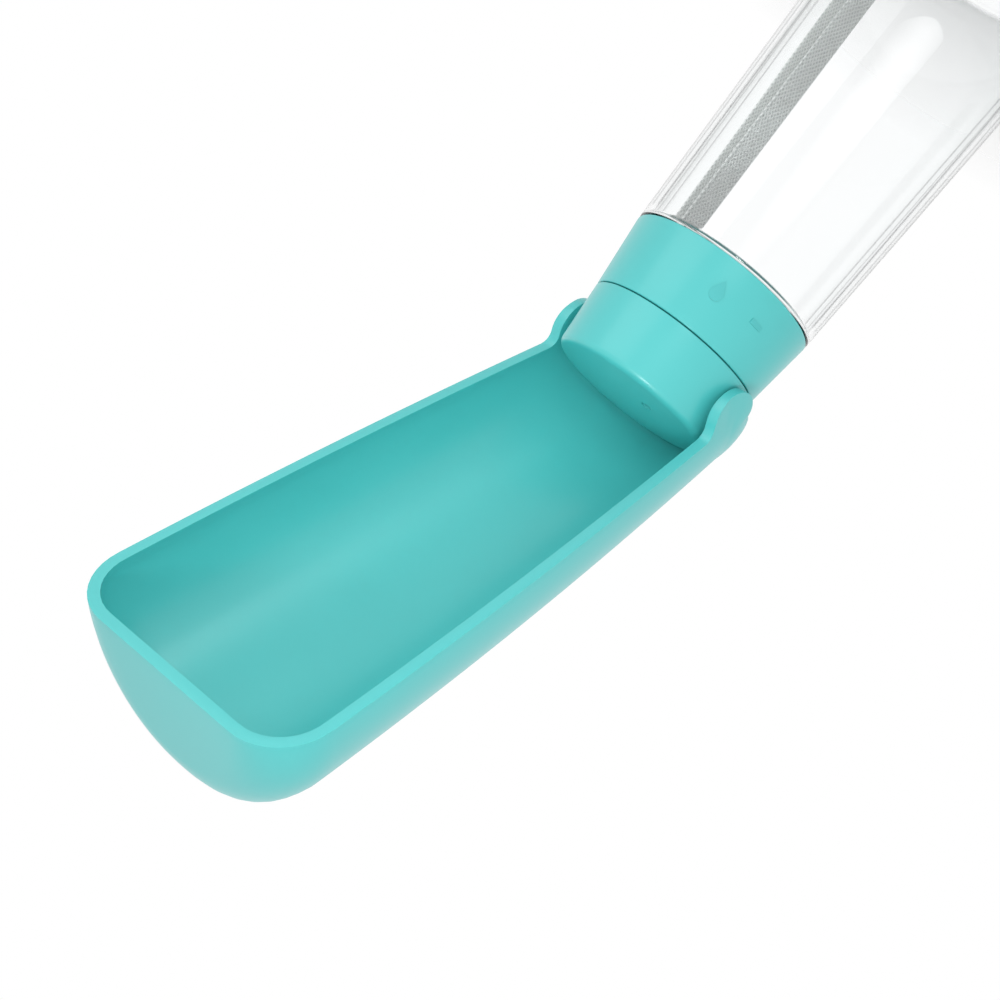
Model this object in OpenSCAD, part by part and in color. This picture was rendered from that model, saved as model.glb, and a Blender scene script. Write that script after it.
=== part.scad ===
// Dog travel water bottle: a clear flared bottle, a screw-on collar with a turning valve head,
// and a long drinking trough that hinges on the head and folds over the front of the bottle.
// Frame: origin at the centre of the bottle's base, +Z up the bottle's axis, -Y towards the
// front, where the trough swings out, and +X along the hinge axis. Units are millimetres.

/* [Bottle] */
// Outer radius of the bottle at its base
base_r = 40.7; // [38:0.1:43]
// Outer radius of the bottle where it meets the collar
shoulder_r = 34; // [32:0.1:35]
// Height of the shoulder, where the collar starts
shoulder_z = 143; // [140:0.5:143.5]
// Wall thickness of the bottle
bottle_wall = 2.4; // [1.8:0.1:3]
// Outer radius of the neck between its threads
neck_r = 26; // [25:0.1:26.5]
// Height of the neck above the shoulder
neck_h = 19; // [17:0.5:20]

/* [Thread] */
// Rise of the thread in one turn
thread_pitch = 4; // [3.6:0.1:4.4]
// Turns of thread on the neck, and in the collar
thread_turns = 1.25; // [1:0.25:1.5]

/* [Collar and head] */
// Height of the collar
collar_h = 25.4; // [24:0.1:28]
// Outer radius at the seam between collar and head
seam_r = 31; // [30:0.1:32]
// Height of the head above the seam, up to its top edge
head_h = 22.1; // [20:0.1:24]
// Outer radius of the head at its top edge
head_top_r = 29; // [28:0.1:30]
// Rise of the domed end face above the head's top edge
dome_h = 1.8; // [1:0.1:2.5]
// Radius of the valve ports
port_r = 3; // [2:0.1:3.2]
// Distance of the valve ports from the axis
port_dist = 15; // [14:0.1:15.5]
// Radius of the outlet in the end face
outlet_r = 1.9; // [1.5:0.1:2.5]
// Turn of the head between open and shut, in degrees
twist_range = 30; // [28:1:34]

/* [Trough] */
// Angle between the open trough and its folded place, in degrees
open_angle = 149.4; // [130:0.1:152]
// Length of the trough from the hinge axis to its free end
trough_l = 193; // [188:0.5:200]
// Half width across the rim at the hinge
rim_half_w0 = 34.8; // [34.5:0.1:36]
// Half width across the rim at the free end
rim_half_w1 = 49.5; // [46:0.1:52]
// How far the rims bow outwards halfway along
rim_bow = 2; // [0:0.1:3]
// Depth below the rim at the hinge
depth0 = 32.6; // [32.5:0.1:34]
// Depth below the rim at the free end
depth1 = 44; // [43.5:0.1:46]
// How far the floor bows outwards halfway along
floor_bow = 3.2; // [1:0.1:5]
// Wall thickness of the trough
trough_wall = 2.6; // [2.2:0.1:2.8]
// Corner radius of the free end, seen from above
end_plan_r = 20; // [12:0.5:24]
// Corner radius between the free end and the floor
end_floor_r = 11; // [8:0.5:14]
// Radius of the hinge ears
ear_r = 9.7; // [9:0.1:11]
// Outer face of an ear, from the middle of the object
ear_x1 = 35.2; // [35:0.1:36]

/* [Strap] */
// Width of the wrist strap
strap_w = 10; // [8:0.5:12]
// Thickness of the wrist strap
strap_t = 1.4; // [1:0.1:2]
// Place of the strap's lug around the collar, in degrees from +X towards +Y
strap_angle = 20; // [18:1:40]

/* [Hidden] */
$fn = 96;
teal = [0.36, 0.79, 0.78];
clear_tint = [0.86, 0.92, 0.93, 0.35];
silicone = [0.9, 0.92, 0.92];
steel = [0.75, 0.76, 0.78];
white_plastic = [0.93, 0.94, 0.94];
webbing_grey = [0.6, 0.63, 0.62];

// Heights up the axis
mouth_z = shoulder_z + neck_h;
gasket_t = 1.6;
deck_z0 = mouth_z + gasket_t;
deck_z1 = deck_z0 + 3.4;
seam_z = shoulder_z + collar_h;
seam_gap = 0.4;
seal_t = 2;
seal_recess = 1.2;
seal_z = deck_z1 - seal_recess;
rotor_z = seal_z + seal_t;
rotor_rim_z = rotor_z + 1.2;
rotor_plate_z = rotor_z + 3.6;
head_top_z = seam_z + head_h;
hinge_z = head_top_z - 10.6;

// Collar and neck
collar_wall_gap = 0.3;
bore_r = neck_r + 2.2;
neck_crest_r = neck_r + 1.6;
collar_crest_r = neck_r + 0.5;
thread_z = shoulder_z + 5;
thread_root_half = 0.9;
thread_crest_half = 0.45;
thread_step = 10;
thread_sink = 0.4;
thread_fade = 40;
thread_seat = 2.5;
collar_rim_r = 26.6;

// Valve
seal_r = 19.8;
seal_hole_r = 5.5;
rotor_r = 27.9;
rotor_hub_r = 21;
rotor_rim_h = 5.5;
o_ring_r = 0.88;
o_ring_z = rotor_rim_z + 3;
o_ring_centre_r = rotor_r + 0.08 - o_ring_r;
stop_dist = 23.4;
stop_r = 1.5;
stop_gap = 0.35;
port_angle = -149.3;
screw_r = 2;
screw_head_r = 4.2;
screw_head_h = 2;
washer_t = 1;
washer_r = 4.6;
screw_fit = 0.06;
washer_fit = 0.3;
boss_r = 5;
boss_drop = 6;

// Head
head_wall = 2.2;
head_bore_r = 28;
head_bore_z = rotor_rim_z + rotor_rim_h + 0.4;
outlet_x = -10.9;
outlet_y = -6.4;
head_edge_r = 1.2;
dome_r = (head_top_r * head_top_r + dome_h * dome_h) / (2 * dome_h);

// Hinge
pin_r = 2.5;
pin_fit = 0.06;
pin_x0 = 22;
pin_x1 = 33.7;
pin_bore_x1 = 34;
hinge_boss_r = 5;
hinge_boss_x0 = 19.5;
hinge_boss_x1 = 30.5;
washer_ring_r = 5;
ear_x0 = 31.9;
ear_edge = 1.2;

// Trough
rim_drop = 1.3;
hook_angle = 38;
ear_cover = 5;
ear_cover_u = 10;
section_power0 = 2;
section_power1 = 2.2;
section_steps = 24;
hook_steps = 4;
length_steps = 7;
round_steps = 6;
fillet_r = 4.5;

// Marks on the collar
mark_t = 0.3;
open_mark_angle = -124.4;
shut_mark_angle = -153;

// Strap
strap_gap = 0.5;
lug_w = strap_w + 6;
lug_reach = 6.4;
lug_t = 2.6;
lug_h = 9;
lug_z = shoulder_z + 2;
slot_w = strap_w + 1;
slot_h = 2.6;
strap_steps = 8;

// ---------------------------------------------------------------- bottle

// Outer radius of the bottle at height z
function bottle_r(z) = base_r + (shoulder_r - base_r) * z / shoulder_z;

// Half of the bottle's section, drawn as radius and height
module bottle_profile() {
    foot_r = 8;
    foot_in = 6;
    w = bottle_wall;
    floor_z = 3;
    edge = 1;
    foot_x = bottle_r(foot_r) - foot_r;
    in_x = bottle_r(foot_r) - w - foot_in;
    top_in = shoulder_z - w - 4;
    shoulder_in = [shoulder_r - w - 2, top_in - 2];
    outer = concat(
        [[0, 0]],
        [for (a = [-90:10:0]) [foot_x + foot_r * cos(a), foot_r + foot_r * sin(a)]],
        [[shoulder_r, shoulder_z - edge]],
        [for (a = [30:30:90]) [shoulder_r - edge + edge * cos(a), shoulder_z - edge + edge * sin(a)]],
        [[neck_r, shoulder_z], [neck_r, mouth_z - 0.5], [neck_r - 0.5, mouth_z]]
    );
    inner = concat(
        [[neck_r - w + 0.4, mouth_z], [neck_r - w, mouth_z - 0.4], [neck_r - w, top_in + 2]],
        [for (a = [0:30:90]) [shoulder_in[0] - 2 + 2 * sin(a), top_in - 2 + 2 * cos(a)]],
        [for (a = [0:-15:-90]) [in_x + foot_in * cos(a), floor_z + foot_in + foot_in * sin(a)]],
        [[0, floor_z]]
    );
    polygon(concat(outer, inner));
}

// Points of one cross-section of a thread ridge at angle a
function ridge(a, root, crest, z0) =
    let (fade = min(1, a / thread_fade, (360 * thread_turns - a) / thread_fade),
        tip = root + (crest - root) * max(fade, 0.05),
        z = z0 + thread_pitch * a / 360)
    [for (p = [[root, -thread_root_half], [tip, -thread_crest_half],
            [tip, thread_crest_half], [root, thread_root_half]])
        [p[0] * cos(a), p[0] * sin(a), z + p[1]]];

// Helical thread ridge from radius root to radius crest
module thread(root, crest, z0) {
    n = ceil(360 * thread_turns / thread_step);
    pts = [for (i = [0:n]) each ridge(i * 360 * thread_turns / n, root, crest, z0)];
    side = [for (i = [0:n - 1], j = [0:3])
        let (k = (j + 1) % 4) [4 * i + j, 4 * i + k, 4 * i + 4 + k, 4 * i + 4 + j]];
    flip = crest < root;
    faces = concat([[3, 2, 1, 0]], side, [[4 * n, 4 * n + 1, 4 * n + 2, 4 * n + 3]]);
    polyhedron(pts, flip ? [for (f = faces) [for (k = [len(f) - 1:-1:0]) f[k]]] : faces, convexity = 8);
}

module bottle_body() {
    color(clear_tint)
    union() {
        rotate_extrude() bottle_profile();
        thread(neck_r - thread_sink, neck_crest_r, thread_z);
    }
}

module neck_gasket() {
    color(silicone)
    translate([0, 0, mouth_z])
    difference() {
        cylinder(r = bore_r - 0.6, h = gasket_t);
        translate([0, 0, -1]) cylinder(r = neck_r - bottle_wall, h = gasket_t + 2);
    }
}

// ---------------------------------------------------------------- collar

// Outer radius of the collar at height z
function collar_r(z) = shoulder_r + (seam_r - shoulder_r) * (z - shoulder_z) / collar_h;

module collar() {
    color(teal)
    union() {
        difference() {
            rotate_extrude() polygon(concat(
                [[bore_r, shoulder_z + collar_wall_gap + 0.6],
                    [bore_r + 0.6, shoulder_z + collar_wall_gap],
                    [shoulder_r - 0.6, shoulder_z + collar_wall_gap],
                    [collar_r(shoulder_z + collar_wall_gap + 0.6), shoulder_z + collar_wall_gap + 0.6]],
                [[collar_r(seam_z - 0.5), seam_z - 0.5], [seam_r - 0.45, seam_z]],
                [[collar_rim_r, seam_z], [collar_rim_r, deck_z1], [seal_r + 0.2, deck_z1],
                    [seal_r + 0.2, seal_z], [0, seal_z], [0, deck_z0 - boss_drop],
                    [boss_r, deck_z0 - boss_drop], [boss_r, deck_z0], [bore_r, deck_z0]]
            ));
            rotate(port_angle) translate([port_dist, 0, deck_z0 - 1]) cylinder(r = port_r, h = 8, $fn = 48);
            translate([0, 0, deck_z0 - boss_drop + 1]) cylinder(r = screw_r, h = 12, $fn = 48);
            stop_groove();
        }
        thread(bore_r + thread_sink, collar_crest_r, thread_z + thread_seat);
        strap_lug();
    }
}

// Arc groove in the collar's deck that stops the head's turn at both ends
module stop_groove() {
    r = stop_r + stop_gap;
    depth = 1.4;
    spare = atan(r / stop_dist);
    rotate(-90 - twist_range - spare) translate([0, 0, deck_z1 - depth])
        rotate_extrude(angle = twist_range + 2 * spare) translate([stop_dist - r, 0]) square([2 * r, 4]);
}

// Moulded loop on the collar that the wrist strap passes through
module strap_lug() {
    rotate(strap_angle) translate([0, 0, lug_z])
    difference() {
        translate([collar_r(lug_z) - 2.5, -lug_w / 2, 0]) cube([lug_reach + 2.5, lug_w, lug_h]);
        translate([collar_r(lug_z) + lug_reach - lug_t - slot_h, -slot_w / 2, -1])
            cube([slot_h, slot_w, lug_h + 2]);
        for (s = [-1, 1]) translate([collar_r(lug_z) + lug_reach, s * lug_w / 2, -1])
            rotate(45) cube([3, 3, 3 * lug_h], center = true);
        translate([0, 0, -10]) cylinder(r = collar_r(lug_z) - 2, h = 30);
    }
}

// A thin shell that follows the collar's surface, mark_t proud of it
module collar_skin() {
    difference() {
        translate([0, 0, shoulder_z + 1])
            cylinder(r1 = collar_r(shoulder_z + 1) + mark_t, r2 = collar_r(seam_z - 1) + mark_t, h = collar_h - 2);
        translate([0, 0, shoulder_z + 1])
            cylinder(r1 = collar_r(shoulder_z + 1), r2 = collar_r(seam_z - 1), h = collar_h - 2);
    }
}

// A drop, for the open position
module open_mark() {
    size = 2.4;
    color([0.3, 0.7, 0.69])
    intersection() {
        collar_skin();
        rotate(open_mark_angle) translate([20, 0, shoulder_z + 12]) rotate([90, 0, 90]) linear_extrude(30)
            polygon(concat([for (a = [-30:10:210]) [size * cos(a), size * sin(a)]], [[0, -2 * size]]));
    }
}

// A bar, for the shut position
module shut_mark() {
    color([0.3, 0.7, 0.69])
    intersection() {
        collar_skin();
        rotate(shut_mark_angle) translate([20, 0, shoulder_z + 11]) rotate([90, 0, 90])
            linear_extrude(30) square([5, 1.6], center = true);
    }
}

// ---------------------------------------------------------------- valve

module valve_seal() {
    color(silicone)
    translate([0, 0, seal_z])
    difference() {
        cylinder(r = seal_r, h = seal_t);
        translate([0, 0, -1]) cylinder(r = seal_hole_r, h = seal_t + 2, $fn = 48);
        rotate(port_angle) translate([port_dist, 0, -1]) cylinder(r = port_r, h = seal_t + 2, $fn = 48);
    }
}

module valve_rotor() {
    groove = o_ring_r + 0.12;
    color(white_plastic)
    difference() {
        union() {
            rotate_extrude() polygon([[0, rotor_z], [rotor_hub_r, rotor_z], [rotor_hub_r, rotor_rim_z],
                [rotor_r - 1.8, rotor_rim_z], [rotor_r, rotor_rim_z + 0.2],
                [rotor_r, o_ring_z - groove], [rotor_r - 1.8, o_ring_z - groove],
                [rotor_r - 1.8, o_ring_z + groove], [rotor_r, o_ring_z + groove],
                [rotor_r, rotor_rim_z + rotor_rim_h], [rotor_r - 3.6, rotor_rim_z + rotor_rim_h],
                [rotor_r - 3.6, rotor_plate_z], [0, rotor_plate_z]]);
            rotate(-90) translate([stop_dist, 0, deck_z1 - 1]) cylinder(r = stop_r, h = 4, $fn = 48);
        }
        rotate(port_angle) translate([port_dist, 0, rotor_z - 1]) cylinder(r = port_r, h = 8, $fn = 48);
        translate([0, 0, rotor_z - 1]) cylinder(r = screw_r + screw_fit, h = 8, $fn = 48);
    }
}

module pivot_screw() {
    head_z = rotor_plate_z + washer_t;
    drive = 1.1;
    color(steel)
    difference() {
        union() {
            translate([0, 0, deck_z0 - boss_drop + 1]) cylinder(r = screw_r, h = head_z - deck_z0 + boss_drop - 1, $fn = 48);
            translate([0, 0, head_z]) cylinder(r1 = screw_head_r, r2 = screw_head_r - 0.8, h = screw_head_h, $fn = 48);
        }
        for (a = [0, 90]) rotate(a) translate([-2.4, -drive / 2, head_z + 0.8]) cube([4.8, drive, 3]);
    }
}

module spring_washer() {
    color(steel)
    translate([0, 0, rotor_plate_z])
    difference() {
        cylinder(r = washer_r, h = washer_t, $fn = 64);
        translate([0, 0, -1]) cylinder(r = screw_r + washer_fit, h = washer_t + 2, $fn = 48);
    }
}

module head_o_ring() {
    color(silicone)
    translate([0, 0, o_ring_z])
    rotate_extrude() translate([o_ring_centre_r, 0]) circle(r = o_ring_r, $fn = 32);
}

// ---------------------------------------------------------------- head

module valve_head() {
    z0 = seam_z + seam_gap;
    cavity_z = head_top_z - head_wall;
    color(teal)
    difference() {
        union() {
            rotate_extrude() polygon(concat(
                [[head_bore_r, z0], [seam_r - 0.45, z0], [seam_r + 0.02, z0 + 0.5]],
                [for (a = [0:15:75]) [head_top_r - head_edge_r + head_edge_r * cos(a),
                    head_top_z - head_edge_r + head_edge_r * sin(a)]],
                [for (r = [head_top_r - head_edge_r:-3:0])
                    [r, head_top_z + sqrt(dome_r * dome_r - r * r) - (dome_r - dome_h)]],
                [[0, head_top_z + dome_h]],
                [[0, cavity_z], [head_top_r - head_wall - 3, cavity_z], [head_top_r - head_wall, cavity_z - 3],
                    [head_top_r - head_wall, head_bore_z + 1.5], [head_bore_r - 1.2, head_bore_z],
                    [head_bore_r, head_bore_z]]
            ));
            intersection() {
                for (s = [-1, 1]) scale([s, 1, 1]) translate([hinge_boss_x0, 0, hinge_z]) rotate([0, 90, 0])
                    cylinder(r = hinge_boss_r, h = hinge_boss_x1 - hinge_boss_x0);
                translate([0, 0, seam_z]) cylinder(r = hinge_boss_x1 + 3, h = head_h);
            }
        }
        for (s = [-1, 1]) scale([s, 1, 1]) translate([pin_x0, 0, hinge_z]) rotate([0, 90, 0])
            cylinder(r = pin_r, h = 20, $fn = 64);
        translate([outlet_x, outlet_y, head_top_z - 6]) cylinder(r = outlet_r, h = 12, $fn = 48);
    }
}

// ---------------------------------------------------------------- hinge

// Pin pressed into the head's boss; side is 1 for +X and -1 for -X
module hinge_pin(side) {
    color(steel)
    scale([side, 1, 1]) translate([pin_x0, 0, hinge_z]) rotate([0, 90, 0])
        cylinder(r = pin_r, h = pin_x1 - pin_x0, $fn = 64);
}

module hinge_pin_left() {
    hinge_pin(1);
}

module hinge_pin_right() {
    hinge_pin(-1);
}

// Rubber washer that gives the trough its friction
module friction_washer(side) {
    color([0.25, 0.25, 0.26])
    scale([side, 1, 1]) translate([hinge_boss_x1, 0, hinge_z]) rotate([0, 90, 0])
    difference() {
        cylinder(r = washer_ring_r, h = ear_x0 - hinge_boss_x1 - 0.02, $fn = 64);
        translate([0, 0, -1]) cylinder(r = pin_r, h = 4, $fn = 64);
    }
}

module friction_washer_left() {
    friction_washer(1);
}

module friction_washer_right() {
    friction_washer(-1);
}

// ---------------------------------------------------------------- trough

// In the trough's own frame, -Y runs from the hinge to the free end and +Z is the way it is deep

// How far a corner of radius c has pulled in at distance u along the trough, inset by off
function pull_in(u, c, off) =
    let (r = max(c - off, 1), t = min(max((u - (trough_l - off - r)) / r, 0), 1)) r * (1 - sqrt(1 - t * t));

// Half width, depth and section power at distance u, for a surface set in by off
function half_w(u, off) = let (f = u / trough_l)
    rim_half_w0 + (rim_half_w1 - rim_half_w0) * f + 4 * rim_bow * f * (1 - f) - off - pull_in(u, end_plan_r, off);
function deep(u, off) = let (f = u / trough_l)
    depth0 + (depth1 - depth0) * f + 4 * floor_bow * f * (1 - f) - off - pull_in(u, end_floor_r, off);
function power(u) = section_power0 + (section_power1 - section_power0) * u / trough_l;

// How far the rim is lowered beside the hinge, under the ears
function lowered(u) = ear_cover * max(0, 1 - u / ear_cover_u);

// One U-shaped section: across, and down from the rim
function section(u, off) =
    let (w = half_w(u, off), d = deep(u, off), e = 2 / power(u), t0 = asin(pow(lowered(u) / d, 1 / e)))
    [for (i = [0:section_steps]) let (t = t0 + (180 - 2 * t0) * i / section_steps)
        [w * sign(cos(t)) * pow(abs(cos(t)), e), d * pow(abs(sin(t)), e)]];

// The section as points: turned about the hinge by hook, or moved along by u
function placed(u, hook, off) =
    [for (p = section(u, off)) let (r = rim_drop + p[1])
        hook > 0 ? [p[0], r * sin(hook), r * cos(hook)] : [p[0], -u, r]];

// Distances along the trough, closer together in the rounded end
function stations(off) = let (last = trough_l - off, r = end_plan_r - off) concat(
    [0, ear_cover_u],
    [for (i = [1:length_steps]) ear_cover_u + (last - r - ear_cover_u) * i / length_steps],
    [for (i = [1:round_steps]) last - r + r * sin(90 * i / round_steps)]);

// All the sections of a skin that is set in by off, from the hook to the free end
function skin(off) = concat(
    [for (i = [hook_steps:-1:1]) placed(0, hook_angle * i / hook_steps, off)],
    [for (u = stations(off)) placed(u, 0, off)]);

module trough_shell() {
    outer = skin(0);
    inner = skin(trough_wall);
    n = len(outer);
    m = section_steps + 1;
    last = n - 1;
    base = n * m;
    pts = concat([for (s = outer) each s], [for (s = inner) each s]);
    skins = [for (i = [0:n - 2], j = [0:m - 2]) each [
        [i * m + j, i * m + j + 1, (i + 1) * m + j + 1, (i + 1) * m + j],
        [base + i * m + j, base + (i + 1) * m + j, base + (i + 1) * m + j + 1, base + i * m + j + 1]]];
    rims = [for (i = [0:n - 2]) each [
        [i * m, (i + 1) * m, base + (i + 1) * m, base + i * m],
        [i * m + m - 1, base + i * m + m - 1, base + (i + 1) * m + m - 1, (i + 1) * m + m - 1]]];
    hook_edge = [for (j = [0:m - 2]) [j, base + j, base + j + 1, j + 1]];
    end_faces = [
        [for (j = [0:m - 1]) last * m + j],
        [for (j = [m - 1:-1:0]) base + last * m + j],
        [last * m, last * m + m - 1, base + last * m + m - 1, base + last * m]];
    faces = concat(skins, rims, hook_edge, end_faces);
    polyhedron(pts, [for (f = faces) [for (k = [len(f) - 1:-1:0]) f[k]]], convexity = 6);
}

// Outline of an ear, with a fillet down to the rim
module ear_outline() {
    base = rim_drop + 0.2;
    reach = sqrt(pow(ear_r + fillet_r, 2) - pow(base - fillet_r, 2));
    touch = atan2(base - fillet_r, reach);
    polygon(concat(
        [[0, rim_drop + 3.5], [0, 0], [(ear_r - 0.1) * cos(touch), (ear_r - 0.1) * sin(touch)]],
        [for (i = [0:8]) let (a = 180 + touch + (-90 - touch) * i / 8)
            [reach + fillet_r * cos(a), base - fillet_r + fillet_r * sin(a)]],
        [[reach, rim_drop + 3.5]]));
}

// Ear of the trough; side is 1 for +X and -1 for -X
module ear(side) {
    scale([side, 1, 1]) translate([ear_x0, 0, 0]) {
        rotate([90, 0, 90]) mirror([1, 0, 0]) linear_extrude(ear_x1 - ear_x0) ear_outline();
        rotate([0, 90, 0]) rotate_extrude() polygon([[0, 0], [ear_r, 0],
            [ear_r, ear_x1 - ear_x0 - ear_edge], [ear_r - ear_edge, ear_x1 - ear_x0], [0, ear_x1 - ear_x0]]);
    }
}

// Blind bore in an ear for its hinge pin
module ear_bore(side) {
    scale([side, 1, 1]) translate([ear_x0 - 2, 0, 0]) rotate([0, 90, 0])
        cylinder(r = pin_r + pin_fit, h = pin_bore_x1 - ear_x0 + 2, $fn = 64);
}

module trough() {
    color(teal)
    translate([0, 0, hinge_z]) rotate([90 - open_angle, 0, 0])
    difference() {
        union() {
            trough_shell();
            ear(1);
            ear(-1);
        }
        ear_bore(1);
        ear_bore(-1);
    }
}

// ---------------------------------------------------------------- strap

// The strap's middle line: distance from the axis and height, from the top of the lug's bar,
// through its slot, down the bottle's side, round the bottom and back up
bar_r = collar_r(lug_z) + lug_reach - lug_t / 2;
lug_top = lug_z + lug_h;
wrap = (lug_t + strap_t) / 2 + 0.25;
strap_low = 20;
function lie_r(z) = bottle_r(z) + strap_gap + strap_t / 2;
strap_line = [
    [bar_r - 0.4, lug_top + 1], [bar_r - 1.6, lug_top + 0.6], [bar_r - wrap, lug_top - 0.8],
    [bar_r - wrap, lug_z + 4], [bar_r - wrap, lug_z], [lie_r(136), 136],
    [lie_r(125), 125], [lie_r(110), 110], [lie_r(90), 90], [lie_r(70), 70], [lie_r(50), 50],
    [lie_r(strap_low + 10), strap_low + 10], [lie_r(strap_low), strap_low],
    [lie_r(13) + 1.2, 13], [lie_r(9) + 5.4, 9], [lie_r(13) + 9.6, 13],
    [lie_r(strap_low) + 10.8, strap_low], [lie_r(strap_low + 10) + 10.4, strap_low + 10],
    [lie_r(50) + 9.4, 50], [lie_r(70) + 8.2, 70], [lie_r(90) + 7.2, 90],
    [lie_r(110) + 6.4, 110], [lie_r(125) + 5.8, 125], [lie_r(136) + 5.2, 136], [bar_r + wrap + 0.4, lug_z],
    [bar_r + wrap, lug_z + 4], [bar_r + wrap, lug_top - 0.8], [bar_r + 1.6, lug_top + 0.6],
    [bar_r + 0.4, lug_top + 1]
];

// Across the strap at point i of its line
function strap_way(i) =
    let (a = strap_line[max(i - 1, 0)], b = strap_line[min(i + 1, len(strap_line) - 1)], d = b - a)
    [-d[1], d[0]] / norm(d);

module wrist_strap() {
    n = len(strap_line);
    pts = [for (i = [0:n - 1]) let (p = strap_line[i], q = strap_way(i) * strap_t / 2) each [
        [p[0] - q[0], -strap_w / 2, p[1] - q[1]], [p[0] + q[0], -strap_w / 2, p[1] + q[1]],
        [p[0] + q[0], strap_w / 2, p[1] + q[1]], [p[0] - q[0], strap_w / 2, p[1] - q[1]]]];
    side = [for (i = [0:n - 2], j = [0:3])
        let (k = (j + 1) % 4) [4 * i + j, 4 * i + k, 4 * i + 4 + k, 4 * i + 4 + j]];
    color(webbing_grey)
    rotate(strap_angle)
    polyhedron(pts, concat([[3, 2, 1, 0]], side, [[4 * n - 4, 4 * n - 3, 4 * n - 2, 4 * n - 1]]), convexity = 4);
}

// ---------------------------------------------------------------- nodes

bottle_body();
neck_gasket();
collar();
open_mark();
shut_mark();
valve_seal();
valve_rotor();
pivot_screw();
spring_washer();
head_o_ring();
valve_head();
hinge_pin_left();
hinge_pin_right();
friction_washer_left();
friction_washer_right();
trough();
wrist_strap();
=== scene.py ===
# %% [markdown]
# # A dog's travel water bottle
# The object is a clear flared bottle with a screw-on collar, a turning valve head and a long
# trough. Water runs from the head into the open trough, and the trough folds over the bottle.
# The engineering model gives every piece its place, so it is loaded first and never moved.
# The small metal and rubber parts inside stay as they are and only get finishes, while the
# shells that the eye rests on are rebuilt here with finer curves and rounded edges.

# %% Load the frame
import math

import bmesh
import bpy
from mathutils import Matrix, Vector


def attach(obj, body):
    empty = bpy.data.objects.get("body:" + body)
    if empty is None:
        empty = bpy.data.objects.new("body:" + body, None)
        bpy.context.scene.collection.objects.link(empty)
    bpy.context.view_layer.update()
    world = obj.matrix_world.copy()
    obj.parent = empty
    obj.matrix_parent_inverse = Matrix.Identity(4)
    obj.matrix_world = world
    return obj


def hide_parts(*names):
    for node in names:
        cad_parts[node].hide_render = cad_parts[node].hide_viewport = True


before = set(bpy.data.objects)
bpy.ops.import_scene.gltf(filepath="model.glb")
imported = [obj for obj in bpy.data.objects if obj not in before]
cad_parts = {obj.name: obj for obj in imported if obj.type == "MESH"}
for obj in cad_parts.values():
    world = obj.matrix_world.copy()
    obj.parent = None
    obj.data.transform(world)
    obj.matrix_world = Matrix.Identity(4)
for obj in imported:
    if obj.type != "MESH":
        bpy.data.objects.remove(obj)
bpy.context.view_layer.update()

MM = 0.001

# %% [markdown]
# ## The sizes that the pieces share
# Each radius and height is in millimetres, measured from the centre of the bottle's base with
# Z up its axis. They are the same numbers as in the engineering model, so that the finer
# pieces land exactly on the solids they stand for. Keeping them in one place means that a
# change of size is made once.

# %% Shared sizes
BASE_R, SHOULDER_R, SHOULDER_Z = 40.7, 34.0, 143.0
NECK_R, MOUTH_Z, WALL = 26.0, 162.0, 2.4
BORE_R, DECK_Z0, DECK_Z1, SEAL_Z = 28.2, 163.6, 167.0, 165.8
SEAM_R, SEAM_Z, SEAM_GAP = 31.0, 168.4, 0.4
HEAD_TOP_R, HEAD_TOP_Z, DOME_H = 29.0, 190.5, 1.8
HINGE_Z, OPEN_ANGLE = 179.9, 149.4
THREAD_Z, THREAD_SEAT, PITCH, TURNS = 148.0, 2.5, 4.0, 1.25
PORT_ANGLE, PORT_DIST, PORT_R = -149.3, 15.0, 3.0
STRAP_ANGLE, STRAP_W, STRAP_T = 20.0, 10.0, 1.4
LUG_Z0, LUG_Z1, BAR_T = 145.0, 154.0, 2.6


def bottle_radius(z):
    """Outer radius of the clear bottle at height z."""
    return BASE_R + (SHOULDER_R - BASE_R) * z / SHOULDER_Z


def collar_radius(z):
    """Outer radius of the collar at height z."""
    return SHOULDER_R + (SEAM_R - SHOULDER_R) * (z - SHOULDER_Z) / (SEAM_Z - SHOULDER_Z)


print("bottle radius halfway up:", round(bottle_radius(75), 2))

# %% [markdown]
# ## Helpers for turned and cut pieces
# The bottle, the collar and the head are all round, as if turned on a lathe. Such a piece could
# be made from a cylinder with many loop cuts, but spinning a drawn outline keeps every radius
# exact. Corners are softened in the outline itself, so the spun surface already has the small
# radii that a mould leaves. Holes are cut afterwards with an exact boolean.

# %% Turned pieces
SPIN_STEPS = 160
MERGE_DIST = 2e-6
SIDE_SHARE = 0.49


def soften(corners, steps=5):
    """Rounds the corners (x, y, reach) of an outline with short curves."""
    out = []
    for i, (x, y, reach) in enumerate(corners):
        here = Vector((x, y))
        if not reach:
            out.append((x, y))
            continue
        before = Vector(corners[i - 1][:2]) - here
        after = Vector(corners[(i + 1) % len(corners)][:2]) - here
        a = here + before.normalized() * min(reach, before.length * SIDE_SHARE)
        b = here + after.normalized() * min(reach, after.length * SIDE_SHARE)
        for k in range(steps + 1):
            t = k / steps
            p = a * (1 - t) ** 2 + here * 2 * t * (1 - t) + b * t * t
            out.append((p.x, p.y))
    return out


def turned(outline):
    """Spins an outline of (radius, height) points, with its ends on the Z axis, into a bmesh."""
    bm = bmesh.new()
    verts = [bm.verts.new((r * MM, 0, z * MM)) for r, z in outline]
    edges = [bm.edges.new(pair) for pair in zip(verts, verts[1:])]
    bmesh.ops.spin(bm, geom=verts + edges, axis=(0, 0, 1), cent=(0, 0, 0), dvec=(0, 0, 0),
                   angle=2 * math.pi, steps=SPIN_STEPS, use_merge=True)
    bmesh.ops.remove_doubles(bm, verts=bm.verts, dist=MERGE_DIST)
    bmesh.ops.dissolve_degenerate(bm, edges=bm.edges, dist=MERGE_DIST / 2)
    bmesh.ops.recalc_face_normals(bm, faces=bm.faces)
    return bm


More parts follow.
